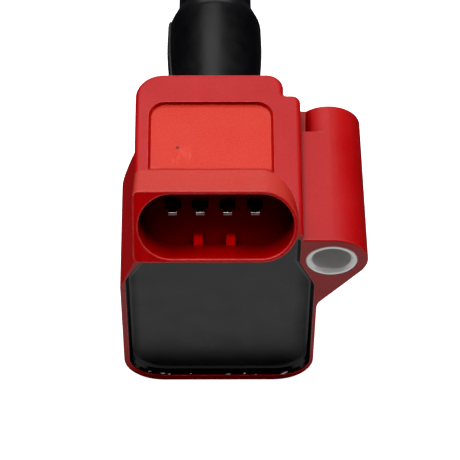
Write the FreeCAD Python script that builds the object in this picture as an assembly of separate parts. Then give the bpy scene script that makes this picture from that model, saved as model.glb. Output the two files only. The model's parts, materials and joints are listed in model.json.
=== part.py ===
"""Plug-top ignition coil, lying on its side. Millimetres.

The design frame has X across the coil, Y from the open (potted) face towards the spark plug,
and Z up. Y = 0 is the rim of the open face and Z = 0 the face of the upper block, and the
plug's axis is the line X = 0, Z = AXIS_Z. Every node is moved once, on export, so that the
origin is where the plug's axis leaves the mouth of the boot.
"""
import FreeCAD
import Part
import os
from math import asin, atan2, cos, radians, sin

V = FreeCAD.Vector

# Plug axis and overall length
AXIS_Z = -14.5
TOTAL_LENGTH = 144.0

# Bolt boss and its steel sleeve, for an M6 bolt
BOLT_X, BOLT_Z = 20.45, -8.25
BOLT_HOLE_R = 3.5
SLEEVE_R = 4.65
SLEEVE_LENGTH = 30.2
BOSS_FRONT_R, BOSS_REAR_R = 6.45, 5.92
BOSS_LENGTH = 29.74
FLARE = 0.4

# Housing
LEFT, RIGHT = -17.2, 18.3
BOTTOM = -49.8
BLOCK_LEFT, BLOCK_RIGHT = -14.45, 15.3
BLOCK_BOTTOM = -29.0
BLOCK_DEPTH = 35.3
STRIP_DEPTH = 30.55
STRIP_X = 12.27
CHAMBER_DEPTH = 33.6
SHOULDER_DEPTH = 24.4
SLOPE_TOP, SLOPE_END = -17.5, -33.5
CORNER_R = 2.5
WALL = 1.3
ROOF = -2.4
RECESS_DEPTH, RECESS_START, RECESS_END = 0.85, 9.0, 28.87
RECESS_LEFT, RECESS_RIGHT = -12.06, 10.4
POTTING_LEVEL = 1.2
WEB_DEPTH, WEB_WALL = 23.8, 2.2
WEB_FOOT = -22.8
BRIDGE_TOP, BRIDGE_THICK = -4.0, 2.2

# Connector shroud, tilted up from the open face
TILT = 38.0
MOUTH_Y, MOUTH_Z = -0.08, 2.6
SHROUD_HALF, CAVITY_HALF = 6.55, 5.85
SHROUD_RIGHT = 14.4
CAVITY_LEFT, CAVITY_RIGHT = -13.5, 13.6
CAVITY_DEPTH, SHROUD_DEPTH, BACK_DEPTH = 9.0, 13.5, 10.8
BLADE_WIDTH, BLADE_THICK, BLADE_PITCH = 1.5, 0.6, 4.8
BLADE_MIDDLE, BLADE_RISE, BLADE_TIP = -0.34, 1.33, 3.4
BLADE_LEVEL, BLADE_END = -4.5, 19.0
POCKET_HALF, POCKET_DROP, POCKET_RISE = 1.4, 0.9, 0.85
RIB_MIDDLES, RIB_HALF, RIB_START, RIB_RISE = (-3.1, 2.66), 0.78, 7.6, 1.63
LUG_HALF, LUG_START, LUG_END, LUG_RISE = 3.0, 0.9, 3.9, 1.1

# Tower and boot
TOWER_R, TOWER_BORE_R, TOWER_FLOOR, TOWER_END = 6.2, 4.0, 36.0, 50.0
BEAD_RISE = 0.35
TUBE_R, TUBE_BORE_R, TUBE_END = 5.5, 3.9, 112.0
BULGE_R, NECK_R, END_R, LIP_R = 8.8, 6.9, 8.1, 8.6
BOOT_START = BLOCK_DEPTH
PAD_RISE, PAD_HALF, PAD_END = 0.3, 2.4, 56.9
SOCKET_R, SOCKET_DEPTH = 5.2, 26.0

# Transformer, its core parallel to Z
CORE_X, CORE_Y = -4.5, 13.5
CORE_HALF = 3.5
CORE_LOW, CORE_HIGH = -41.6, -20.8
MAGNET, BUFFER = 1.3, 0.6
LIMB = 4.8
YOKE_RIGHT = 15.0
BOBBIN_LOW, BOBBIN_HIGH = CORE_LOW + 0.4, CORE_HIGH - 0.4
PRIMARY_HUB_R, PRIMARY_R, PRIMARY_FLANGE_R, PRIMARY_FLANGE = 5.9, 7.4, 7.6, 1.0
SECONDARY_HUB_R, SECONDARY_R, SECONDARY_FLANGE_R, SECONDARY_FLANGE = 8.4, 10.0, 10.4, 0.8
CHAMBERS = 6

# Driver board
BOARD_TOP = BLADE_LEVEL - BLADE_THICK / 2
BOARD_THICK = 0.8
BOARD_LEFT, BOARD_RIGHT = -12.4, 10.4
BOARD_FRONT, BOARD_REAR = 15.5, 32.4
SPREADER_X, SPREADER_Y, SPREADER_SIZE, SPREADER_THICK = -6.0, 26.4, 9.4, 0.5

# Resistor and springs on the plug axis
WIRE_R, SPRING_WIRE_R = 0.35, 0.4
PIN_R, PIN_START, PIN_FLANGE, PIN_CUP, PIN_END = 1.0, 28.0, 38.0, 39.2, 44.0
DIODE_R, DIODE_Y = 1.5, PIN_START - 0.8 + WIRE_R
RESISTOR_START, RESISTOR_END, RESISTOR_R, CAP_R = 58.0, 82.0, 2.6, 3.0
CAP_LENGTH = 4.0
CONTACT_START, CONTACT_END, CONTACT_R = 109.0, 117.0, 3.2


def loop(corners, place):
    """Closed face through corners (a, b, radius). A radius turns its corner into an arc."""
    points = []
    for i, (a, b, r) in enumerate(corners):
        here = V(a, b, 0)
        if r == 0:
            points.append((here, None, here))
            continue
        before = V(*corners[i - 1][:2], 0) - here
        after = V(*corners[(i + 1) % len(corners)][:2], 0) - here
        before.normalize()
        after.normalize()
        half = before.getAngle(after) / 2
        reach = r * cos(half) / sin(half)
        middle = before + after
        middle.normalize()
        points.append((here + before * reach, here + middle * (r / sin(half) - r), here + after * reach))
    edges = []
    for i, (start, middle, end) in enumerate(points):
        if middle:
            edges.append(Part.Arc(place(start), place(middle), place(end)).toShape())
        following = points[(i + 1) % len(points)][0]
        if (following - end).Length > 1e-6:
            edges.append(Part.LineSegment(place(end), place(following)).toShape())
    return Part.Face(Part.Wire(edges))


def along_x(corners, start, end):
    """Prism along X of an outline given in (Y, Z)."""
    return loop(corners, lambda p: V(start, p.x, p.y)).extrude(V(end - start, 0, 0))


def along_y(corners, start, end):
    """Prism along Y of an outline given in (X, Z)."""
    return loop(corners, lambda p: V(p.x, start, p.y)).extrude(V(0, end - start, 0))


def along_z(corners, start, end):
    """Prism along Z of an outline given in (X, Y)."""
    return loop(corners, lambda p: V(p.x, p.y, start)).extrude(V(0, 0, end - start))


def block(x, y, z):
    """Plain box from three (low, high) pairs."""
    return Part.makeBox(x[1] - x[0], y[1] - y[0], z[1] - z[0], V(x[0], y[0], z[0]))


def rod(r, start, end, x=0.0, z=AXIS_Z):
    """Cylinder along Y."""
    return Part.makeCylinder(r, end - start, V(x, start, z), V(0, 1, 0))


def post(r, low, high, x=CORE_X, y=CORE_Y):
    """Cylinder along Z."""
    return Part.makeCylinder(r, high - low, V(x, y, low))


def turned(corners):
    """Solid of revolution about the plug axis, from corners (radius, Y, corner radius)."""
    face = loop(corners, lambda p: V(p.x, p.y, AXIS_Z))
    return face.revolve(V(0, 0, AXIS_Z), V(0, 1, 0), 360)


def wire(points, r=WIRE_R):
    """Round wire of straight runs with a ball at each bend."""
    solid = None
    for i in range(len(points) - 1):
        run = points[i + 1] - points[i]
        piece = Part.makeCylinder(r, run.Length, points[i], run)
        if i:
            piece = piece.fuse(Part.makeSphere(r, points[i]))
        solid = piece if solid is None else solid.fuse(piece)
    return solid.removeSplitter()


def spring(r, wire_r, start, end, turns):
    """Helical spring on the plug axis."""
    pitch = (end - start) / turns
    helix = Part.makeHelix(pitch, end - start, r)
    profile = Part.Wire(Part.makeCircle(wire_r, V(r, 0, 0), V(0, 1, 0)))
    solid = Part.Wire(helix.Edges).makePipeShell([profile], True, True)
    solid.rotate(V(0, 0, 0), V(1, 0, 0), -90)
    solid.translate(V(0, start, AXIS_Z))
    return solid


def tilt(shape):
    """Places a shape built on the connector's own axes: Y into the cavity, Z across it."""
    shape.rotate(V(0, 0, 0), V(1, 0, 0), -TILT)
    shape.translate(V(0, MOUTH_Y, MOUTH_Z))
    return shape


def tilted_point(depth, rise):
    """(Y, Z) of a point at a depth into the connector and a rise over its middle line."""
    c, s = cos(radians(TILT)), sin(radians(TILT))
    return MOUTH_Y + depth * c + rise * s, MOUTH_Z - depth * s + rise * c


def rounded(solid, radius, edges):
    """The solid with these edges rounded, or None where the kernel can't do it."""
    try:
        result = solid.makeFillet(radius, edges)
    except Part.OCCError:
        return None
    return result if result.isValid() and len(result.Solids) == 1 else None


def soften(solid, radius, wanted):
    """Rounds the edges that wanted() picks: all together, or else one at a time."""
    edges = [e for e in solid.Edges if wanted(e)]
    together = rounded(solid, radius, edges)
    if together:
        return together
    for centre in [e.CenterOfMass for e in edges]:
        for edge in solid.Edges:
            if wanted(edge) and (edge.CenterOfMass - centre).Length < 1e-4:
                solid = rounded(solid, radius, [edge]) or solid
                break
    return solid


# ---------------------------------------------------------------- housing

def shroud_solid():
    """The connector's outside, square to the left and round to the right."""
    h = SHROUD_HALF
    outline = [(BLOCK_LEFT, h, 1.1), (SHROUD_RIGHT, h, h - 0.01), (SHROUD_RIGHT, -h, h - 0.01),
               (BLOCK_LEFT, -h, 1.1)]
    return tilt(along_y(outline, 0, SHROUD_DEPTH))


def connector_cavity():
    r = CAVITY_HALF - 0.01
    outline = [(CAVITY_LEFT, CAVITY_HALF, r), (CAVITY_RIGHT, CAVITY_HALF, r),
               (CAVITY_RIGHT, -CAVITY_HALF, r), (CAVITY_LEFT, -CAVITY_HALF, r)]
    return tilt(along_y(outline, -1, CAVITY_DEPTH))


def blade_pockets():
    """Shallow pockets in the connector's back wall, one round the root of each blade."""
    across = (BLADE_RISE - POCKET_DROP, BLADE_RISE + POCKET_RISE)
    return [tilt(block((blade_x(i) - POCKET_HALF, blade_x(i) + POCKET_HALF),
                       (CAVITY_DEPTH - 0.1, CAVITY_DEPTH + 1.0), across)) for i in range(4)]


def key_ribs():
    """Two low ribs on the connector's floor, against its back wall."""
    return [tilt(block((middle - RIB_HALF, middle + RIB_HALF), (RIB_START, CAVITY_DEPTH + 0.5),
                       (-CAVITY_HALF - 0.3, -CAVITY_HALF + RIB_RISE))) for middle in RIB_MIDDLES]


def plug_lug():
    """Ramp under the shroud that the harness plug's latch snaps over."""
    root, crest = -SHROUD_HALF + 0.2, -SHROUD_HALF - LUG_RISE
    ramp = [(LUG_START, root, 0), (LUG_END, root, 0), (LUG_END, crest, 0.2), (LUG_END - 0.7, crest, 0.2)]
    return tilt(along_x(ramp, -LUG_HALF, LUG_HALF))


def body_outline():
    """Front view of the wide body, in (X, Z)."""
    return [(BLOCK_LEFT, -2.0, 0), (BLOCK_LEFT, -8.5, 1.0), (LEFT, -16.7, 4.0), (LEFT, BOTTOM, 7.5),
            (RIGHT, BOTTOM, 7.5), (RIGHT, -16.7, 4.0), (BLOCK_RIGHT, -8.5, 1.0), (BLOCK_RIGHT, -2.0, 0)]


def body_side():
    """Side view of the wide body, in (Y, Z): deeper where the transformer sits."""
    return [(0, -1.0, 0), (20.0, -1.0, 0), (SHOULDER_DEPTH, -9.0, 2.5), (SHOULDER_DEPTH, SLOPE_TOP, 0),
            (CHAMBER_DEPTH, SLOPE_END, 3.0), (CHAMBER_DEPTH, BOTTOM, 2.0), (0, BOTTOM, 0)]


def corner_trims(x, outward):
    """What rounding takes off one rear corner of the body, all the way down its side view."""
    r = CORNER_R
    outline = [(x + 2 * outward, -r - 1, 0), (x, -r - 1, 0), (x, 0, r), (x - outward * (r + 1), 0, 0),
               (x - outward * (r + 1), 3, 0), (x + 2 * outward, 3, 0)]
    path = [V(0, SHOULDER_DEPTH, 0), V(0, SHOULDER_DEPTH, SLOPE_TOP), V(0, CHAMBER_DEPTH, SLOPE_END),
            V(0, CHAMBER_DEPTH, BOTTOM - 1)]
    return [loop(outline, lambda p: p + start).extrude(end - start) for start, end in zip(path, path[1:])]


def wide_body():
    body = along_y(body_outline(), 0, 60)
    body = body.common(along_x(body_side(), LEFT - 1, RIGHT + 1))
    return body.cut(corner_trims(LEFT, -1) + corner_trims(RIGHT, 1))


def upper_block():
    plan = [(BLOCK_LEFT, 0, 0), (BLOCK_LEFT, BLOCK_DEPTH, 5.0), (STRIP_X, BLOCK_DEPTH, 3.0),
            (STRIP_X, STRIP_DEPTH, 0.6), (BLOCK_RIGHT, STRIP_DEPTH, 1.5), (BLOCK_RIGHT, 0, 0)]
    solid = along_z(plan, BLOCK_BOTTOM, 0)
    solid = soften(solid, 0.9, lambda e: e.BoundBox.ZMin > -0.01 and e.BoundBox.YMax > 0.1)
    return soften(solid, 1.5, lambda e: e.BoundBox.ZMax < BLOCK_BOTTOM + 0.01 and e.BoundBox.YMin > 29.0)


def face_recess():
    """Panel sunk in the upper face; its side walls lean outwards."""
    rims = []
    for inward, z in ((0.53, -RECESS_DEPTH), (0, 0), (0, 1.0)):
        left, right = RECESS_LEFT + inward, RECESS_RIGHT - inward
        plan = [(left, RECESS_START, 0), (left, RECESS_END, 3.0), (right, RECESS_END, 3.0),
                (right, RECESS_START, 0)]
        rims.append(loop(plan, lambda p: V(p.x, p.y, z)).OuterWire)
    return Part.makeLoft(rims, True, True)


def boss():
    cone = Part.makeCone(BOSS_FRONT_R, BOSS_REAR_R, BOSS_LENGTH, V(BOLT_X, 0, BOLT_Z), V(0, 1, 0))
    return soften(cone, 0.35, lambda e: e.BoundBox.YLength < 0.01)


def gusset_rim(r, y):
    """Front view of the web at one depth: over the boss, down its tangent, into the body's side."""
    foot = V(RIGHT, WEB_FOOT, 0)
    arm = V(BOLT_X, BOLT_Z, 0) - foot
    lean = atan2(arm.y, arm.x) - asin(r / arm.Length)
    run = (BOLT_Z + r - WEB_FOOT) / sin(lean)
    corners = [(12.0, BOLT_Z + r, 0), (RIGHT + run * cos(lean), BOLT_Z + r, r), (RIGHT, WEB_FOOT, 4.5),
               (RIGHT, -27.0, 0), (12.0, -27.0, 0)]
    return loop(corners, lambda p: V(p.x, y, p.y)).OuterWire


def web():
    """Channel between the body and the boss: closed in front, open at the back."""
    rear_r = BOSS_FRONT_R + (BOSS_REAR_R - BOSS_FRONT_R) * WEB_DEPTH / BOSS_LENGTH
    outer = Part.makeLoft([gusset_rim(BOSS_FRONT_R, 0), gusset_rim(rear_r, WEB_DEPTH)], True, True)
    roof = BOLT_Z + BOSS_FRONT_R - WEB_WALL
    inside = [(14.0, roof, 0), (BOLT_X, roof, 0.8), (BOLT_X + 1.6, BOLT_Z - 4.2, 0.8),
              (RIGHT - 0.4, -20.2, 0.6), (14.0, -20.2, 0)]
    bridge = block((12.0, BOLT_X - 2), (WEB_DEPTH - 1, BOSS_LENGTH - 0.1),
                   (BRIDGE_TOP - BRIDGE_THICK, BRIDGE_TOP))
    return outer.cut(along_y(inside, 2.6, WEB_DEPTH + 1)).fuse(bridge)


def lip_outline():
    """Front view of the pocket's mouth, in (X, Z)."""
    return [(-13.3, -1.3, 0.8), (14.9, -1.3, 0.8), (14.9, -9.0, 1.5), (17.7, -16.0, 3.0),
            (17.7, -48.0, 6.2), (-16.2, -48.0, 6.2), (-16.2, -14.5, 2.5), (-13.9, -9.5, 1.0),
            (-13.3, -8.5, 0)]


def resin_rim(y, shrink):
    """Outline of the resin's surface at one depth, drawn in from the pocket's own outline."""
    middle = V((LEFT + RIGHT) / 2, BOTTOM / 2, 0)
    return loop(lip_outline(), lambda p: V(middle.x + (p.x - middle.x) * shrink, y,
                                           middle.y + (p.y - middle.y) * shrink)).OuterWire


def air_over_resin():
    """The resin climbs the pocket's wall in a hollow curve almost to the rim."""
    steps = [(-1.0, 0.994), (0.15, 0.994), (0.6, 0.982), (1.0, 0.962), (POTTING_LEVEL, 0.93)]
    return Part.makeLoft([resin_rim(y, shrink) for y, shrink in steps], True, True)


def pocket():
    """The space behind the open face, down to the housing's inner walls."""
    front = along_y(lip_outline(), -1, 4.0)
    left, right, low = LEFT + WALL, RIGHT - WALL, BOTTOM + WALL
    block_left, block_right, strip_right = BLOCK_LEFT + WALL, BLOCK_RIGHT - WALL, STRIP_X - WALL
    shoulder, rear = SHOULDER_DEPTH - WALL, CHAMBER_DEPTH - WALL
    inner = [(block_left, ROOF, 0), (block_right, ROOF, 0), (block_right, -9.6, 1.0), (right, -17.2, 3.0),
             (right, low, 6.2), (left, low, 6.2), (left, -17.2, 3.0), (block_left, -9.6, 1.0)]
    side = [(-2, ROOF, 0), (19.0, ROOF, 0), (shoulder, -9.8, 2.0), (shoulder, SLOPE_TOP - 0.4, 0),
            (rear, SLOPE_END - 0.4, 3.0), (rear, low, 1.5), (-2, low, 0)]
    plan = [(left, -2, 0), (left, rear, 3.0), (right, rear, 3.0), (right, -2, 0)]
    chamber = along_y(inner, 3.5, 60).common(along_x(side, LEFT, RIGHT)).common(along_z(plan, BOTTOM, 0))
    upper = [(block_left, 3.5, 0), (block_left, BLOCK_DEPTH - WALL, 3.8),
             (strip_right, BLOCK_DEPTH - WALL, 2.0), (strip_right, 3.5, 0)]
    bay = along_z(upper, BLOCK_BOTTOM + WALL, ROOF)
    strip = block((STRIP_X - 2, block_right), (3.5, STRIP_DEPTH - WALL), (-9.0, ROOF))
    return front.fuse([chamber, bay, strip]).removeSplitter()


def tower():
    """Round tower at the back, over which the boot is pushed, with a shallow retaining bead."""
    corners = [(0, BLOCK_DEPTH - 1.4, 0), (TOWER_R, BLOCK_DEPTH - 1.4, 0), (TOWER_R, 45.0, 0),
               (TOWER_R + BEAD_RISE, 45.8, 0.3), (TOWER_R + BEAD_RISE, 47.2, 0.3), (TOWER_R, 48.0, 0),
               (TOWER_R, TOWER_END, 0.6), (0, TOWER_END, 0)]
    return turned(corners)


def at_mouth(edge):
    """True for an edge that lies in the plane of the connector's mouth."""
    c, s = cos(radians(TILT)), sin(radians(TILT))
    depths = [(v.Y - MOUTH_Y) * c - (v.Z - MOUTH_Z) * s for v in edge.Vertexes]
    middle = edge.valueAt((edge.FirstParameter + edge.LastParameter) / 2)
    depths.append((middle.y - MOUTH_Y) * c - (middle.z - MOUTH_Z) * s)
    return max(abs(d) for d in depths) < 0.01


def on_rim(edge):
    """True for an edge of the open face's rim, away from the connector and the bolt."""
    box = edge.BoundBox
    return max(abs(box.YMin), abs(box.YMax)) < 0.01 and box.ZMax < -9.0 and box.XMax < RIGHT + 0.01


def make_housing(hollow, terminals):
    solid = upper_block().cut(face_recess()).fuse([wide_body(), web(), boss(), tower()])
    solid = solid.cut(hollow)
    solid = solid.fuse([shroud_core(), plug_lug()])
    solid = solid.cut([connector_cavity()] + blade_pockets()).fuse(key_ribs())
    solid = solid.cut(rod(SLEEVE_R, -1, 40, BOLT_X, BOLT_Z))
    solid = solid.cut([rod(TOWER_BORE_R, TOWER_FLOOR, TOWER_END + 1), rod(PIN_R, 30.0, 40.0)])
    solid = solid.removeSplitter()
    solid = soften(solid, 0.22, at_mouth)
    solid = soften(solid, 0.3, on_rim)
    return solid.cut(terminals)


def under_shroud():
    """Below the face and behind the connector's back wall the shroud's block is hollow."""
    shape = block((BLOCK_LEFT + WALL, SHROUD_RIGHT - WALL), (BACK_DEPTH, SHROUD_DEPTH + 8), (-12, 12))
    return tilt(shape).common(block((-20, 20), (0, 40), (-30, ROOF)))


def shroud_core():
    """The part of the connector that stands in the pocket, walls and cavity together."""
    return shroud_solid().cut(under_shroud())


def make_sleeve():
    """Steel sleeve whose bore flares at both ends, where the bolt enters."""
    solid = rod(SLEEVE_R, 0, SLEEVE_LENGTH, BOLT_X, BOLT_Z)
    solid = solid.makeChamfer(FLARE / 2, [e for e in solid.Edges if e.BoundBox.YLength < 0.01])
    solid = solid.cut(rod(BOLT_HOLE_R, -1, SLEEVE_LENGTH + 1, BOLT_X, BOLT_Z))
    for y, inward in ((0, 1), (SLEEVE_LENGTH, -1)):
        solid = solid.cut(Part.makeCone(BOLT_HOLE_R + FLARE, BOLT_HOLE_R, FLARE, V(BOLT_X, y, BOLT_Z),
                                        V(0, inward, 0)))
    return solid


# ---------------------------------------------------------------- connector and driver stage

def blade_x(index):
    """Middle of one blade across the connector."""
    return BLADE_MIDDLE + (index - 1.5) * BLADE_PITCH


def make_terminal(index):
    """Flat blade that runs back through the connector's wall, then level on to the board."""
    bend_depth = (MOUTH_Z + BLADE_RISE * cos(radians(TILT)) - BLADE_LEVEL) / sin(radians(TILT))
    tip_y, tip_z = tilted_point(BLADE_TIP, BLADE_RISE)
    bend_y, bend_z = tilted_point(bend_depth, BLADE_RISE)
    h = BLADE_THICK / 2
    c, s = cos(radians(TILT)), sin(radians(TILT))
    mitre = h * (1 - c) / s
    side = [(tip_y + h * s, tip_z + h * c, 0.15), (bend_y + mitre, bend_z + h, 0),
            (BLADE_END, bend_z + h, 0), (BLADE_END, bend_z - h, 0), (bend_y - mitre, bend_z - h, 0),
            (tip_y - h * s, tip_z - h * c, 0.15)]
    x = blade_x(index)
    return along_x(side, x - BLADE_WIDTH / 2, x + BLADE_WIDTH / 2)


def make_carrier(terminals, core):
    """Moulded block that holds the four blades behind the connector."""
    body = block((-10.5, 10.2), (9.4, BOARD_FRONT), (-6.6, ROOF))
    return body.cut([core] + terminals).removeSplitter()


def chip(x, y, size_x, size_y, height):
    """Flat package on the board, from its middle and its sizes."""
    low = [(x - size_x / 2, y - size_y / 2, 0.2), (x + size_x / 2, y - size_y / 2, 0.2),
           (x + size_x / 2, y + size_y / 2, 0.2), (x - size_x / 2, y + size_y / 2, 0.2)]
    return along_z(low, BOARD_TOP, BOARD_TOP + height)


# ---------------------------------------------------------------- transformer

def core_slice(low, high):
    """Piece of the centre leg between two heights."""
    return block((CORE_X - CORE_HALF, CORE_X + CORE_HALF), (CORE_Y - CORE_HALF, CORE_Y + CORE_HALF),
                 (low, high))


def core_bar():
    return core_slice(CORE_LOW, CORE_HIGH)


def make_yoke():
    """C-shaped lamination stack: two limbs and a back leg."""
    top = CORE_HIGH + MAGNET
    low = CORE_LOW - BUFFER
    left = CORE_X - CORE_HALF
    y = (CORE_Y - CORE_HALF, CORE_Y + CORE_HALF)
    outer = [(left, low - LIMB, 0), (YOKE_RIGHT, low - LIMB, 2.0), (YOKE_RIGHT, top + LIMB, 2.0),
             (left, top + LIMB, 0)]
    inner = [(left - 1, low, 0), (YOKE_RIGHT - LIMB, low, 0.8), (YOKE_RIGHT - LIMB, top, 0.8),
             (left - 1, top, 0)]
    return along_y(outer, *y).cut(along_y(inner, y[0] - 1, y[1] + 1))


def make_primary_bobbin():
    solid = post(PRIMARY_HUB_R, BOBBIN_LOW, BOBBIN_HIGH)
    for low in (BOBBIN_LOW, BOBBIN_HIGH - PRIMARY_FLANGE):
        solid = solid.fuse(post(PRIMARY_FLANGE_R, low, low + PRIMARY_FLANGE))
    return solid.cut(core_bar()).removeSplitter()


def make_primary_winding():
    coil = post(PRIMARY_R, BOBBIN_LOW + PRIMARY_FLANGE, BOBBIN_HIGH - PRIMARY_FLANGE)
    return coil.cut(post(PRIMARY_HUB_R, CORE_LOW, CORE_HIGH))


def chamber_spans():
    """(low, high) of each winding chamber of the secondary bobbin."""
    depth = (BOBBIN_HIGH - BOBBIN_LOW - SECONDARY_FLANGE * (CHAMBERS + 1)) / CHAMBERS
    lows = [BOBBIN_LOW + SECONDARY_FLANGE + i * (depth + SECONDARY_FLANGE) for i in range(CHAMBERS)]
    return [(low, low + depth) for low in lows]


def make_secondary_bobbin():
    solid = post(SECONDARY_FLANGE_R, BOBBIN_LOW, BOBBIN_HIGH)
    for low, high in chamber_spans():
        solid = solid.cut(post(20, low, high).cut(post(SECONDARY_HUB_R, low, high)))
    return solid.cut(post(PRIMARY_FLANGE_R, BOBBIN_LOW - 1, BOBBIN_HIGH + 1)).removeSplitter()


def make_secondary_winding():
    """One coil in each chamber."""
    return Part.makeCompound([post(SECONDARY_R, low, high).cut(post(SECONDARY_HUB_R, low, high))
                              for low, high in chamber_spans()])


# ---------------------------------------------------------------- output side and boot

def make_output_pin():
    """Pin through the tower's floor, with a cup that the first spring bears on."""
    stem = rod(PIN_R, PIN_START, PIN_FLANGE).fuse(rod(3.4, PIN_FLANGE, PIN_CUP))
    return stem.fuse(rod(1.4, PIN_CUP, PIN_END)).removeSplitter()


def make_tube():
    """Stiff tube round the resistor, between the tower and the plug."""
    return turned([(TUBE_BORE_R, TOWER_END, 0), (TUBE_R, TOWER_END, 0.3), (TUBE_R, TUBE_END, 0.3),
                   (TUBE_BORE_R, TUBE_END, 0)])


def make_boot(inside):
    """Rubber boot: bulge over the tower, neck over the tube, and the plug's end."""
    end = TOTAL_LENGTH
    widest = (BULGE_R + 0.1, BOOT_START + 15.5, 60.0)
    solid = turned([(0, BOOT_START, 0), (BULGE_R - 1.0, BOOT_START, 0.5), widest, (BULGE_R - 0.1, 57.0, 4.0),
                    (NECK_R + 0.5, 60.0, 1.0), (NECK_R, 60.5, 0.3), (NECK_R, 104.0, 6.0),
                    (END_R, 110.0, 6.0), (END_R, end - 6.0, 1.0), (LIP_R, end - 4.8, 1.0),
                    (LIP_R, end, 1.2), (0, end, 0)])
    start = BOOT_START + 1.5
    pad = turned([(BULGE_R - 2, start, 0), (BULGE_R - 0.9 + PAD_RISE, start, 0),
                  (widest[0] + PAD_RISE, widest[1], widest[2]), (BULGE_R - 0.1 + PAD_RISE, PAD_END, 0),
                  (BULGE_R - 2, PAD_END, 0)])
    pad = pad.common(block((-BULGE_R - 1, 0), (BOOT_START, end), (AXIS_Z - PAD_HALF, AXIS_Z + PAD_HALF)))
    solid = solid.fuse(pad)
    hollow = rod(TUBE_BORE_R, 0, end).fuse(rod(SOCKET_R, end - SOCKET_DEPTH, end + 1))
    return solid.cut([hollow] + inside).removeSplitter()


def cap(start):
    """Metal cap on one end of the resistor."""
    return rod(CAP_R, start, start + CAP_LENGTH)


def make_contact():
    """Cup on the end of the long spring, which the plug's terminal pushes in."""
    y0, y1 = CONTACT_START, CONTACT_END
    corners = [(0, y0, 0), (1.9, y0, 0.2), (1.9, y0 + 2.5, 0), (CONTACT_R, y0 + 2.5, 0.3),
               (CONTACT_R, y1, 0.5), (2.2, y1, 0.2), (2.2, y1 - 2.0, 0), (0, y1 - 2.0, 0)]
    return turned(corners)


# ---------------------------------------------------------------- the whole coil

def driver_stage():
    """Board and the parts on it."""
    board = [(BOARD_LEFT, BOARD_FRONT, 0.5), (BOARD_RIGHT, BOARD_FRONT, 0.5), (BOARD_RIGHT, BOARD_REAR, 0.5),
             (BOARD_LEFT, BOARD_REAR, 3.0)]
    on_spreader = BOARD_TOP + SPREADER_THICK
    return {
        "circuit_board": along_z(board, BOARD_TOP - BOARD_THICK, BOARD_TOP),
        "heat_spreader": chip(SPREADER_X, SPREADER_Y, SPREADER_SIZE, SPREADER_SIZE, SPREADER_THICK),
        "switching_transistor": block((SPREADER_X - 4.2, SPREADER_X + 4.2),
                                      (SPREADER_Y - 4.2, SPREADER_Y + 4.2), (on_spreader, on_spreader + 1.6)),
        "driver_chip": chip(4.4, 28.6, 5.0, 4.0, 1.2),
        "filter_capacitor": chip(3.0, 23.2, 3.2, 1.8, 1.4),
        "gate_resistor": chip(8.0, 23.2, 1.2, 2.4, 0.6),
    }


def transformer():
    return {
        "core_bar": core_bar(),
        "core_magnet": core_slice(CORE_HIGH, CORE_HIGH + MAGNET),
        "core_buffer": core_slice(CORE_LOW - BUFFER, CORE_LOW),
        "yoke": make_yoke(),
        "primary_bobbin": make_primary_bobbin(),
        "primary_winding": make_primary_winding(),
        "secondary_bobbin": make_secondary_bobbin(),
        "secondary_winding": make_secondary_winding(),
    }


def leads():
    """Wires between the windings, the board and the output pin, and the diode on the way."""
    nodes = {}
    over = CORE_HIGH + 0.2
    for name, x in (("primary_supply_lead", -9.5), ("primary_switch_lead", 1.5)):
        nodes[name] = wire([V(x, CORE_Y + 2.0, over), V(x, 18.6, over), V(x, 18.6, BOARD_TOP - BOARD_THICK)])
    y, on_bobbin = CORE_Y - 4.0, BOBBIN_HIGH + WIRE_R
    nodes["secondary_ground_lead"] = wire([V(CORE_X - 7.5, y, on_bobbin), V(BOARD_LEFT, y, on_bobbin),
                                           V(BOARD_LEFT, y, -8.5)])
    tail_z = sum(chamber_spans()[-1]) / 2
    nodes["high_voltage_lead"] = wire([V(0, CORE_Y + 8.5, tail_z), V(0, DIODE_Y - WIRE_R, tail_z)]).cut(
        post(SECONDARY_R, CORE_LOW, CORE_HIGH))
    diode = post(WIRE_R, tail_z - 1.0, AXIS_Z, 0, DIODE_Y).fuse(
        post(DIODE_R, tail_z + 1.2, AXIS_Z - 1.8, 0, DIODE_Y))
    nodes["high_voltage_diode"] = diode.cut(rod(PIN_R, PIN_START, PIN_FLANGE)).removeSplitter()
    nodes["high_voltage_terminal"] = make_output_pin()
    return nodes


def output_line():
    """What stands on the plug's axis beyond the tower's floor, from the spring to the boot."""
    cap_start, cap_end = RESISTOR_START - CAP_LENGTH, RESISTOR_END + CAP_LENGTH
    return {
        "insulator_tube": make_tube(),
        "terminal_spring": spring(2.3, SPRING_WIRE_R, PIN_CUP + 0.5, cap_start - 0.5, 6),
        "resistor_cap_upper": cap(cap_start),
        "suppression_resistor": rod(RESISTOR_R, RESISTOR_START, RESISTOR_END),
        "resistor_cap_lower": cap(RESISTOR_END),
        "contact_spring": spring(2.6, SPRING_WIRE_R, cap_end + 0.45, CONTACT_START + 1.8, 12),
        "plug_contact": make_contact(),
        "rubber_boot": make_boot([tower(), rod(TUBE_R, TOWER_END - 0.1, TUBE_END)]),
    }


def make_potting(hollow, others):
    """The resin: the housing's hollow, less the air at its mouth and whatever stands in it."""
    filled = hollow.cut([block((-30, 30), (-5, 0.15), (-60, 5)), air_over_resin()])
    return max(filled.cut(others).Solids, key=lambda s: s.Volume)


def build():
    hollow = pocket()
    terminals = [make_terminal(i) for i in range(4)]
    names = ("terminal_battery", "terminal_trigger", "terminal_logic_ground", "terminal_power_ground")
    inner = dict(zip(names, terminals))
    inner["terminal_carrier"] = make_carrier(terminals, shroud_core())
    for group in (driver_stage(), transformer(), leads()):
        inner.update(group)
    housing = make_housing(hollow, terminals)
    potting = make_potting(hollow, [housing] + list(inner.values()))
    return {"housing": housing, "bolt_bushing": make_sleeve(), **inner, "potting_fill": potting,
            **output_line()}


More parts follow.
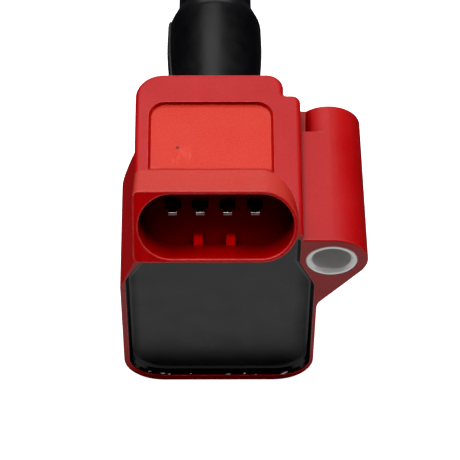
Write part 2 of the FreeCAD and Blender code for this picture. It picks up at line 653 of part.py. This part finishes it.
def main():
    os.makedirs("parts", exist_ok=True)
    move = V(0, -TOTAL_LENGTH, -AXIS_Z)
    for name, shape in build().items():
        shape.translate(move)
        shape.exportStep(os.path.join("parts", name + ".step"))
        print(f"{name:24s} solids {len(shape.Solids)} valid {shape.isValid()} {shape.Volume:.1f} mm3")


main()
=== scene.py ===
"""Looks of the ignition coil: materials, resin surface, contact spring, light and camera."""
import bpy
import bmesh
import json
import math
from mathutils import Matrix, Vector


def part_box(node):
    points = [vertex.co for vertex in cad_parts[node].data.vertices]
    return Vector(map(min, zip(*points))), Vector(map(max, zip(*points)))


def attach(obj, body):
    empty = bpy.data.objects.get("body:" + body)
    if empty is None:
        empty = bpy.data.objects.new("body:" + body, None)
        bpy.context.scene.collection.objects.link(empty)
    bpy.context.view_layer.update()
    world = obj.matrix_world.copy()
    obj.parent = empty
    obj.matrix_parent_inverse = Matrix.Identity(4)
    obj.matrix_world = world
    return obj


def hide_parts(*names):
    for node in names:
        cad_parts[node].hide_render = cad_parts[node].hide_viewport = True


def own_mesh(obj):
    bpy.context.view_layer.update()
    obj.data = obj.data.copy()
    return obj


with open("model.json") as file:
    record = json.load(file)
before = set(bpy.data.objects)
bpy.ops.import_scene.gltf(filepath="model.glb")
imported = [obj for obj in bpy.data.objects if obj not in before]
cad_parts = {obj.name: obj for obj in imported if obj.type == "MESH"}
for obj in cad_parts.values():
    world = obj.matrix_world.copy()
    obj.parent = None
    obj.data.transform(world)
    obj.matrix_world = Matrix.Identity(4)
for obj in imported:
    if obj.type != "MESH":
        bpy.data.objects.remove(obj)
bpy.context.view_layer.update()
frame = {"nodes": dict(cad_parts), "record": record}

MM = 0.001
NODES = frame["nodes"]

# The head's own landmarks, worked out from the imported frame
SLEEVE_BELOW_FACE, PANEL_SINK = 8.25 * MM, 0.85 * MM
SLEEVE_LOW, SLEEVE_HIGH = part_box("bolt_bushing")
HEAD_FRONT = SLEEVE_LOW.y
FACE_Z = (SLEEVE_LOW.z + SLEEVE_HIGH.z) / 2 + SLEEVE_BELOW_FACE
PANEL_Z = FACE_Z - PANEL_SINK
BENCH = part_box("housing")[0].z
RESIN_LOW, RESIN_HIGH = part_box("potting_fill")

# Moulding mark on the panel, the connector's tilted mouth and the two ribs on its floor
GATE_MARK = (-6.8 * MM, HEAD_FRONT + 19.3 * MM)
MOUTH_Y, MOUTH_Z, TILT = HEAD_FRONT - 0.08 * MM, FACE_Z + 2.6 * MM, math.radians(38.0)
RIB_MIDDLES, RIB_HALF = (-3.1 * MM, 2.66 * MM), 0.8 * MM
RIB_FRONT, RIB_REAR = HEAD_FRONT + 2.35 * MM, HEAD_FRONT + 4.35 * MM
RIB_TOP = FACE_Z - 5.2 * MM

# Below this the picture is black
BLACK_POINT = 0.006

# Studio floor: half its width and how far it glows
FLOOR_HALF, FLOOR_GLOW = 3.0, 0.9

# The camera of a product shot, high over the open end of the head
AZIMUTH, ELEVATION, ROLL = -0.77, 56.2, 0.55
DISTANCE, LENS = 0.4252, 192.26
TARGET = Vector((2.44 * MM, HEAD_FRONT, 16.09 * MM))


# ---------------------------------------------------------------- shader helpers

class Shader:
    """One node material, built by short calls."""

    def __init__(self, name):
        self.material = bpy.data.materials.new(name)
        self.material.use_nodes = True
        self.tree = self.material.node_tree
        self.bsdf = self.tree.nodes["Principled BSDF"]
        self.place = self.add("ShaderNodeTexCoord").outputs["Object"]
        self.height = None

    def add(self, kind, **settings):
        made = self.tree.nodes.new(kind)
        for key, value in settings.items():
            setattr(made, key, value)
        return made

    def link(self, source, target):
        if hasattr(source, "links"):
            self.tree.links.new(source, target)
        else:
            target.default_value = source

    def stretched(self, scale):
        mapping = self.add("ShaderNodeMapping")
        mapping.inputs["Scale"].default_value = scale
        self.link(self.place, mapping.inputs["Vector"])
        return mapping.outputs["Vector"]

    def noise(self, scale, detail=3.0, rough=0.55, stretch=None):
        made = self.add("ShaderNodeTexNoise")
        self.link(self.stretched(stretch) if stretch else self.place, made.inputs["Vector"])
        made.inputs["Scale"].default_value = scale
        made.inputs["Detail"].default_value = detail
        made.inputs["Roughness"].default_value = rough
        return made.outputs["Fac"]

    def cells(self, scale):
        made = self.add("ShaderNodeTexVoronoi")
        self.link(self.place, made.inputs["Vector"])
        made.inputs["Scale"].default_value = scale
        return made.outputs["Distance"]

    def maths(self, operation, a, b=0.0, clamp=False):
        made = self.add("ShaderNodeMath", operation=operation, use_clamp=clamp)
        self.link(a, made.inputs[0])
        self.link(b, made.inputs[1])
        return made.outputs[0]

    def ramp(self, value, low, high, out_low=0.0, out_high=1.0):
        made = self.add("ShaderNodeMapRange", clamp=True)
        self.link(value, made.inputs["Value"])
        limits = (("From Min", low), ("From Max", high), ("To Min", out_low), ("To Max", out_high))
        for name, number in limits:
            made.inputs[name].default_value = number
        return made.outputs["Result"]

    def axis(self, letter):
        split = self.add("ShaderNodeSeparateXYZ")
        self.link(self.place, split.inputs[0])
        return split.outputs[letter]

    def squared_gap(self, letter, centre):
        gap = self.maths("SUBTRACT", self.axis(letter), centre)
        return self.maths("MULTIPLY", gap, gap)

    def facing(self, letter):
        """The surface's own direction, one axis of it."""
        split = self.add("ShaderNodeSeparateXYZ")
        self.link(self.add("ShaderNodeNewGeometry").outputs["Normal"], split.inputs[0])
        return split.outputs[letter]

    def between(self, letter, low, high, soft=0.2 * MM):
        value = self.axis(letter)
        rise = self.ramp(value, low - soft, low)
        fall = self.ramp(value, high, high + soft, 1.0, 0.0)
        return self.maths("MULTIPLY", rise, fall)

    def mix(self, factor, a, b):
        made = self.add("ShaderNodeMix", data_type="RGBA")
        self.link(factor, made.inputs[0])
        for value, socket in ((a, made.inputs[6]), (b, made.inputs[7])):
            self.link((*value, 1.0) if isinstance(value, tuple) else value, socket)
        return made.outputs[2]

    def edge(self, radius):
        """1 along sharp edges, 0 on open faces."""
        bevel = self.add("ShaderNodeBevel", samples=6)
        bevel.inputs["Radius"].default_value = radius
        plain = self.add("ShaderNodeNewGeometry").outputs["Normal"]
        dot = self.add("ShaderNodeVectorMath", operation="DOT_PRODUCT")
        self.link(bevel.outputs["Normal"], dot.inputs[0])
        self.link(plain, dot.inputs[1])
        return self.ramp(dot.outputs["Value"], 0.99, 0.86)

    def openness(self, reach):
        """0 deep in a hollow, 1 on an open face."""
        made = self.add("ShaderNodeAmbientOcclusion", samples=4)
        made.inputs["Distance"].default_value = reach
        return made.outputs["AO"]

    def bump(self, value, distance, strength=1.0):
        """Adds a height to the bump chain, in metres."""
        made = self.add("ShaderNodeBump")
        made.inputs["Distance"].default_value = distance
        made.inputs["Strength"].default_value = strength
        self.link(value, made.inputs["Height"])
        if self.height:
            self.link(self.height, made.inputs["Normal"])
        self.height = made.outputs["Normal"]

    def finish(self, colour, roughness, metallic=0.0, **uniform):
        self.link(colour, self.bsdf.inputs["Base Color"])
        self.link(roughness, self.bsdf.inputs["Roughness"])
        self.bsdf.inputs["Metallic"].default_value = metallic
        for name, value in uniform.items():
            self.bsdf.inputs[name.replace("_", " ")].default_value = value
        if self.height:
            self.link(self.height, self.bsdf.inputs["Normal"])
        return self.material


# ---------------------------------------------------------------- materials

def at_connector_mouth(s):
    """1 in the plane of the connector's mouth, 0 further in."""
    inward = s.maths("MULTIPLY", s.maths("SUBTRACT", s.axis("Y"), MOUTH_Y), math.cos(TILT))
    downward = s.maths("MULTIPLY", s.maths("SUBTRACT", MOUTH_Z, s.axis("Z")), math.sin(TILT))
    return s.ramp(s.maths("ADD", inward, downward), 0.5 * MM, 0.3 * MM)


def on_key_ribs(s):
    """1 on the two ribs inside the connector."""
    across = [s.between("X", middle - RIB_HALF, middle + RIB_HALF, 0.05 * MM) for middle in RIB_MIDDLES]
    below_top = s.ramp(s.axis("Z"), RIB_TOP + 0.1 * MM, RIB_TOP)
    along = s.maths("MULTIPLY", s.between("Y", RIB_FRONT, RIB_REAR, 0.1 * MM), below_top)
    return s.maths("MULTIPLY", s.maths("MAXIMUM", *across), along)


def red_plastic():
    """Red moulding, brighter on the panel. Painted highlights on the shroud's back and the connector's
    ribs, painted shade in its hollows; its edges pale from rubbing and a painted edge highlight.
    """
    s = Shader("red_moulded_plastic")
    patches = s.ramp(s.noise(70.0, 4.0), 0.35, 0.65)
    red = s.mix(patches, (0.42, 0.0016, 0.0030), (0.47, 0.0028, 0.0042))
    behind_mouth = s.ramp(s.axis("Y"), HEAD_FRONT + 5.0 * MM, HEAD_FRONT + 5.5 * MM)
    panel_height = s.between("Z", PANEL_Z - 0.1 * MM, PANEL_Z + 0.1 * MM, 0.15 * MM)
    on_panel = s.maths("MULTIPLY", behind_mouth, panel_height)
    # Painted highlight: surfaces of the shroud that face backwards are coloured paler and oranger,
    # standing in for the overhead light's haze on them.
    above_face = s.ramp(s.axis("Z"), FACE_Z, FACE_Z + 0.3 * MM)
    shroud_back_highlight = s.maths("MULTIPLY", above_face, s.ramp(s.facing("Y"), 0.2, 0.5))
    red = s.mix(on_panel, red, (0.62, 0.024, 0.006))
    red = s.mix(shroud_back_highlight, red, (0.575, 0.046, 0.032))
    flow = s.ramp(s.noise(220.0, 2.0, 0.5, (1.0, 0.25, 1.0)), 0.55, 0.75, 0.0, 0.22)
    red = s.mix(flow, red, (0.54, 0.012, 0.010))
    squares = s.maths("ADD", s.squared_gap("X", GATE_MARK[0]), s.squared_gap("Y", GATE_MARK[1]))
    gate = s.ramp(s.maths("SQRT", squares), 0.36 * MM, 0.2 * MM)
    red = s.mix(s.maths("MULTIPLY", gate, on_panel), red, (0.03, 0.004, 0.004))
    # Pale edges: partly wear from rubbing, partly a painted edge highlight.
    worn_and_highlit_edges = s.maths("MULTIPLY", s.edge(0.25 * MM), s.ramp(s.noise(600.0, 3.0), 0.35, 0.65, 0.15, 0.9))
    red = s.mix(worn_and_highlit_edges, red, (0.78, 0.17, 0.15))
    # Paler rim round the connector's mouth: partly wear from rubbing, partly a painted highlight along
    # the edge.
    mouth_edge = s.maths("MULTIPLY", s.edge(0.4 * MM), at_connector_mouth(s))
    rubbed_and_highlit = s.ramp(s.noise(500.0, 3.0), 0.3, 0.6, 0.35, 0.8)
    red = s.mix(s.maths("MULTIPLY", mouth_edge, rubbed_and_highlit), red, (0.90, 0.36, 0.31))
    scuff = s.ramp(s.noise(170.0, 5.0, 0.7, (1.0, 0.4, 1.0)), 0.62, 0.74, 0.0, 0.4)
    red = s.mix(s.maths("MULTIPLY", scuff, on_panel), red, (0.80, 0.16, 0.10))
    grain = s.noise(3000.0, 3.0, 0.65)
    red = s.mix(s.ramp(grain, 0.35, 0.7, 0.0, 0.40), red, (0.25, 0.0010, 0.0016))
    # Painted shade: deep hollows, such as the connector's cavity, are darkened where occlusion is high.
    hollow = s.ramp(s.openness(13.0 * MM), 0.22, 0.70, 0.90, 0.0)
    red = s.mix(hollow, red, (0.07, 0.0004, 0.0006))
    # Painted highlight: the ribs inside the connector are coloured a brighter red than the floor round
    # them.
    red = s.mix(s.maths("MULTIPLY", on_key_ribs(s), 0.9), red, (0.80, 0.0040, 0.0060))
    rough = s.maths("ADD", s.ramp(s.noise(160.0, 4.0), 0.3, 0.7, 0.36, 0.46),
                    s.maths("MULTIPLY", grain, 0.08))
    s.bump(grain, 0.010 * MM, 0.9)
    s.bump(s.noise(900.0, 2.0), 0.010 * MM, 0.6)
    return s.finish(red, rough, Specular_IOR_Level=0.35)


def black_resin():
    """Painted shade darkens it towards the side walls, the bottom and where it climbs the walls, which
    is also glossier; painted glints along the lower rim.
    """
    s = Shader("black_potting_resin")
    cloud = s.ramp(s.noise(90.0, 5.0, 0.6), 0.3, 0.7)
    black = s.mix(cloud, (0.013, 0.013, 0.0145), (0.020, 0.020, 0.022))
    # Painted shade: darker towards the right and left walls, towards the bottom, and on the strip where
    # it climbs the rim.
    right = s.ramp(s.axis("X"), RESIN_HIGH.x - 3.6 * MM, RESIN_HIGH.x - 1.0 * MM)
    left = s.ramp(s.axis("X"), RESIN_LOW.x + 2.4 * MM, RESIN_LOW.x + 0.8 * MM)
    foot = s.ramp(s.axis("Z"), BENCH + 5.2 * MM, BENCH + 3.0 * MM)
    shade = s.maths("MAXIMUM", right, s.maths("MAXIMUM", left, foot))
    climb = s.ramp(s.axis("Y"), HEAD_FRONT + 1.19 * MM, HEAD_FRONT + 1.0 * MM)
    black = s.mix(s.maths("MAXIMUM", shade, climb), black, (0.011, 0.0105, 0.0105))
    # Painted glints: thin bright marks along the lower rim.
    at_rim = s.ramp(s.axis("Y"), HEAD_FRONT + 0.5 * MM, HEAD_FRONT + 0.3 * MM)
    glint_streaks = s.ramp(s.noise(1500.0, 2.0, 0.6, (0.4, 1.0, 1.0)), 0.63, 0.68)
    near_bench = s.ramp(s.axis("Z"), BENCH + 3.4 * MM, BENCH + 2.6 * MM)
    painted_glint = s.maths("MULTIPLY", glint_streaks, s.maths("MULTIPLY", at_rim, near_bench))
    black = s.mix(painted_glint, black, (0.85, 0.80, 0.80))
    rough = s.ramp(s.noise(240.0, 5.0, 0.65), 0.3, 0.7, 0.26, 0.38)
    rough = s.maths("SUBTRACT", rough, s.maths("MULTIPLY", climb, 0.10))
    rough = s.maths("ADD", rough, s.maths("MULTIPLY", s.maths("SUBTRACT", shade, climb, True), 0.25))
    s.bump(s.noise(130.0, 2.0), 0.03 * MM, 0.4)
    s.bump(s.noise(2200.0, 3.0), 0.004 * MM, 0.7)
    return s.finish(black, rough, Specular_IOR_Level=0.32)


def black_rubber():
    """Satin rubber with a faint bloom and a few pale specks of dust."""
    s = Shader("black_boot_rubber")
    mottled = s.ramp(s.noise(180.0, 5.0, 0.62), 0.3, 0.72)
    black = s.mix(mottled, (0.0040, 0.0040, 0.0044), (0.0070, 0.0070, 0.0078))
    bloom = s.ramp(s.noise(60.0, 3.0), 0.5, 0.75, 0.0, 0.35)
    black = s.mix(bloom, black, (0.012, 0.012, 0.013))
    specks = s.maths("MULTIPLY", s.ramp(s.cells(700.0), 0.10, 0.03), s.ramp(s.noise(90.0), 0.55, 0.65))
    black = s.mix(specks, black, (0.10, 0.10, 0.10))
    rough = s.ramp(s.noise(400.0, 4.0), 0.3, 0.7, 0.32, 0.42)
    s.bump(s.noise(2600.0, 3.0, 0.6), 0.008 * MM, 0.8)
    s.bump(s.noise(260.0, 2.0), 0.03 * MM, 0.4)
    return s.finish(black, rough, Specular_IOR_Level=0.26)


def metal(name, dark, light, rough_low, rough_high, lines=(1.0, 1.0, 1.0), scale=900.0, metallic=1.0):
    """Metal with fine tool marks along the axis where lines is small."""
    s = Shader(name)
    marks = s.noise(scale, 4.0, 0.6, lines)
    tint = s.mix(s.ramp(marks, 0.3, 0.7), dark, light)
    stain = s.ramp(s.noise(260.0, 4.0), 0.45, 0.7, 0.0, 0.35)
    tint = s.mix(stain, tint, tuple(0.7 * c for c in dark))
    # Pale edges: partly wear, partly a painted edge highlight.
    worn_and_highlit_edges = s.maths("MULTIPLY", s.edge(0.15 * MM), 0.6)
    tint = s.mix(worn_and_highlit_edges, tint, tuple(min(1.0, 1.1 * c) for c in light))
    rough = s.ramp(marks, 0.3, 0.7, rough_low, rough_high)
    s.bump(marks, 0.006 * MM, 0.7)
    return s.finish(tint, rough, metallic)


def moulding(name, dark, light, rough_low=0.4, rough_high=0.55, scale=220.0):
    """Plain moulded or fired insulator."""
    s = Shader(name)
    tint = s.mix(s.ramp(s.noise(scale, 4.0), 0.3, 0.7), dark, light)
    # Pale edges: partly wear, partly a painted edge highlight.
    worn_and_highlit_edges = s.maths("MULTIPLY", s.edge(0.2 * MM), 0.5)
    tint = s.mix(worn_and_highlit_edges, tint, tuple(min(1.0, 1.25 * c + 0.01) for c in light))
    rough = s.ramp(s.noise(2.0 * scale, 3.0), 0.3, 0.7, rough_low, rough_high)
    s.bump(s.noise(2400.0, 3.0), 0.006 * MM, 0.7)
    return s.finish(tint, rough)


def laid_wire(name, dark, light, pitch):
    """Turns of enamelled wire, side by side along Z."""
    s = Shader(name)
    turns = s.maths("SINE", s.maths("MULTIPLY", s.axis("Z"), 2 * math.pi / pitch))
    # Painted shade and highlight: a dark and a pale band in each turn stand in for light falling on
    # round wire.
    tint = s.mix(s.ramp(turns, -1.0, 1.0), dark, light)
    tint = s.mix(s.ramp(s.noise(300.0, 3.0), 0.4, 0.7, 0.0, 0.4), tint, dark)
    s.bump(turns, pitch / 4, 0.8)
    return s.finish(tint, s.ramp(s.noise(900.0), 0.3, 0.7, 0.2, 0.35), 0.8)


def laminations(name):
    """Stacked sheets, seen as fine lines across Y."""
    s = Shader(name)
    sheets = s.maths("SINE", s.maths("MULTIPLY", s.axis("Y"), 2 * math.pi / (0.5 * MM)))
    tint = s.mix(s.ramp(sheets, -1.0, -0.6), (0.08, 0.08, 0.09), (0.24, 0.25, 0.27))
    tint = s.mix(s.ramp(s.noise(200.0, 4.0), 0.5, 0.75, 0.0, 0.5), tint, (0.20, 0.14, 0.10))
    s.bump(sheets, 0.03 * MM, 0.7)
    return s.finish(tint, s.ramp(s.noise(700.0), 0.3, 0.7, 0.35, 0.55), 0.9)


def paint_nodes():
    """Gives every CAD node its material, and returns the materials by slot."""
    red, resin, rubber = red_plastic(), black_resin(), black_rubber()
    steel = metal("zinc_plated_steel", (0.94, 0.93, 0.92), (0.99, 0.98, 0.97), 0.28, 0.46, (1, 0.12, 1),
                  metallic=0.3)
    tin = metal("tinned_blade", (0.52, 0.50, 0.46), (0.74, 0.72, 0.68), 0.24, 0.40, (1, 0.15, 0.15))
    brass = metal("turned_brass", (0.52, 0.37, 0.15), (0.72, 0.54, 0.25), 0.2, 0.36, (1, 0.1, 1))
    copper = metal("bare_copper", (0.58, 0.24, 0.12), (0.78, 0.38, 0.22), 0.24, 0.4)
    spring = metal("spring_wire", (0.34, 0.35, 0.37), (0.56, 0.57, 0.59), 0.2, 0.34)
    magnet = metal("sintered_magnet", (0.20, 0.20, 0.21), (0.32, 0.32, 0.33), 0.4, 0.6)
    insert = moulding("black_insert", (0.015, 0.015, 0.016), (0.03, 0.03, 0.032))
    cream = moulding("bobbin_plastic", (0.52, 0.47, 0.34), (0.64, 0.59, 0.45))
    white = moulding("ceramic_board", (0.62, 0.62, 0.58), (0.76, 0.76, 0.72), 0.3, 0.45)
    tan = moulding("capacitor_ceramic", (0.36, 0.24, 0.13), (0.48, 0.34, 0.20), 0.3, 0.45)
    rod = moulding("resistor_rod", (0.46, 0.42, 0.34), (0.60, 0.56, 0.47), 0.35, 0.5)
    pad = moulding("soft_pad", (0.02, 0.02, 0.02), (0.035, 0.035, 0.035), 0.6, 0.75)
    iron = laminations("laminated_steel")
    fine = laid_wire("fine_enamelled_wire", (0.30, 0.09, 0.03), (0.62, 0.26, 0.09), 0.12 * MM)
    coarse = laid_wire("enamelled_wire", (0.34, 0.10, 0.03), (0.70, 0.32, 0.12), 0.5 * MM)
    by_slot = {
        "housing": red, "potting": resin, "bushing": steel, "terminal": tin, "carrier": insert,
        "board": white, "copper": copper, "chip": insert, "capacitor": tan, "resistor_chip": insert,
        "core": iron, "magnet": magnet, "buffer": pad, "bobbin": cream, "winding": coarse,
        "diode": insert, "pin": brass, "tube": insert, "spring": spring, "resistor": rod,
        "rubber": rubber,
    }
    for part in frame["record"]["subparts"]:
        node = NODES[part["node"]]
        made = fine if part["node"] == "secondary_winding" else by_slot[part["material_slot"]]
        for slot in node.material_slots:
            slot.material = made
    return by_slot


def give_in_spring(finish):
    """The contact's spring, which shortens as the plug pushes the contact in; here a fixed copy with
    its finish, hung on the coil's body in place of the imported node.
    """
    node = NODES["contact_spring"]
    piece = node.copy()
    piece.data = node.data.copy()
    piece.name = "contact_spring_coils"
    bpy.context.scene.collection.objects.link(piece)
    piece.data.materials.clear()
    piece.data.materials.append(finish)
    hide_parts("contact_spring")
    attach(piece, "coil")
    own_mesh(piece)


# ---------------------------------------------------------------- stage, light, camera

def make_floor():
    """Pale glowing floor that lights nothing, so the object stands on plain white."""
    floor = bpy.data.objects.new("floor", bpy.data.meshes.new("floor"))
    bpy.context.scene.collection.objects.link(floor)
    shape = bmesh.new()
    bmesh.ops.create_grid(shape, x_segments=1, y_segments=1, size=FLOOR_HALF)
    shape.to_mesh(floor.data)
    shape.free()
    floor.location.z = BENCH
    s = Shader("pale_floor")
    tint = s.mix(s.ramp(s.noise(6.0), 0.3, 0.7), (0.90, 0.90, 0.90), (0.92, 0.92, 0.92))
    s.bsdf.inputs["Emission Color"].default_value = (1, 1, 1, 1)
    floor.data.materials.append(s.finish(tint, 0.9, Emission_Strength=FLOOR_GLOW))
    floor.visible_diffuse = False
    floor.visible_glossy = False


def area_light(name, place, aim, size, power):
    light = bpy.data.lights.new(name, "AREA")
    light.shape = "RECTANGLE"
    light.size, light.size_y = size
    light.energy = power
    lamp = bpy.data.objects.new(name, light)
    bpy.context.scene.collection.objects.link(lamp)
    lamp.location = place
    lamp.rotation_mode = "QUATERNION"
    lamp.rotation_quaternion = (Vector(aim) - Vector(place)).to_track_quat("-Z", "Y")
    return lamp


def light_studio():
    """Wide light overhead, weak ones round it, a card's glow in front and a fill behind."""
    world = bpy.data.worlds.new("studio")
    world.use_nodes = True
    world.node_tree.nodes["Background"].inputs["Color"].default_value = (1, 1, 1, 1)
    world.node_tree.nodes["Background"].inputs["Strength"].default_value = 0.05
    bpy.context.scene.world = world
    middle = Vector((0, HEAD_FRONT + 0.02, 0.01))
    area_light("overhead", middle + Vector((0, 0.02, 0.70)), middle, (1.3, 0.30), 7.2)
    area_light("rear_soft", middle + Vector((-0.10, 0.42, 0.62)), middle, (0.46, 0.34), 1.35)
    for name, side in (("left_soft", -1), ("right_soft", 1)):
        area_light(name, middle + Vector((0.75 * side, -0.05, 0.30)), middle, (0.4, 0.5), 0.8)
    card = Vector((0, HEAD_FRONT - 0.155, BENCH + 0.0005))
    bounce = area_light("front_bounce", card, card + Vector((0, 0.01, 1)), (0.5, 0.3), 0.30)
    bounce.visible_camera = False
    boot_mouth = Vector((0, 0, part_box("rubber_boot")[0].z))
    behind = area_light("rear_fill", Vector((0, 0.75, 0.14)), boot_mouth, (0.5, 0.3), 1.2)
    behind.visible_camera = False


def show_deep_blacks():
    """Plain view transform with the darkest tones cut to black."""
    view = bpy.context.scene.view_settings
    view.view_transform = "Standard"
    view.use_curve_mapping = True
    view.curve_mapping.black_level = (BLACK_POINT, BLACK_POINT, BLACK_POINT)
    view.curve_mapping.update()


def place_camera():
    data = bpy.data.cameras.new("camera")
    data.lens = LENS
    data.clip_start = 0.01
    camera = bpy.data.objects.new("camera", data)
    bpy.context.scene.collection.objects.link(camera)
    azimuth, elevation = math.radians(AZIMUTH), math.radians(ELEVATION)
    back = Vector((math.sin(azimuth) * math.cos(elevation), -math.cos(azimuth) * math.cos(elevation),
                   math.sin(elevation)))
    camera.location = TARGET + back * DISTANCE
    camera.rotation_euler = (-back).to_track_quat("-Z", "Y").to_euler()
    camera.rotation_euler.rotate_axis("Z", math.radians(ROLL))
    bpy.context.scene.camera = camera


give_in_spring(paint_nodes()["spring"])
make_floor()
light_studio()
place_camera()
show_deep_blacks()
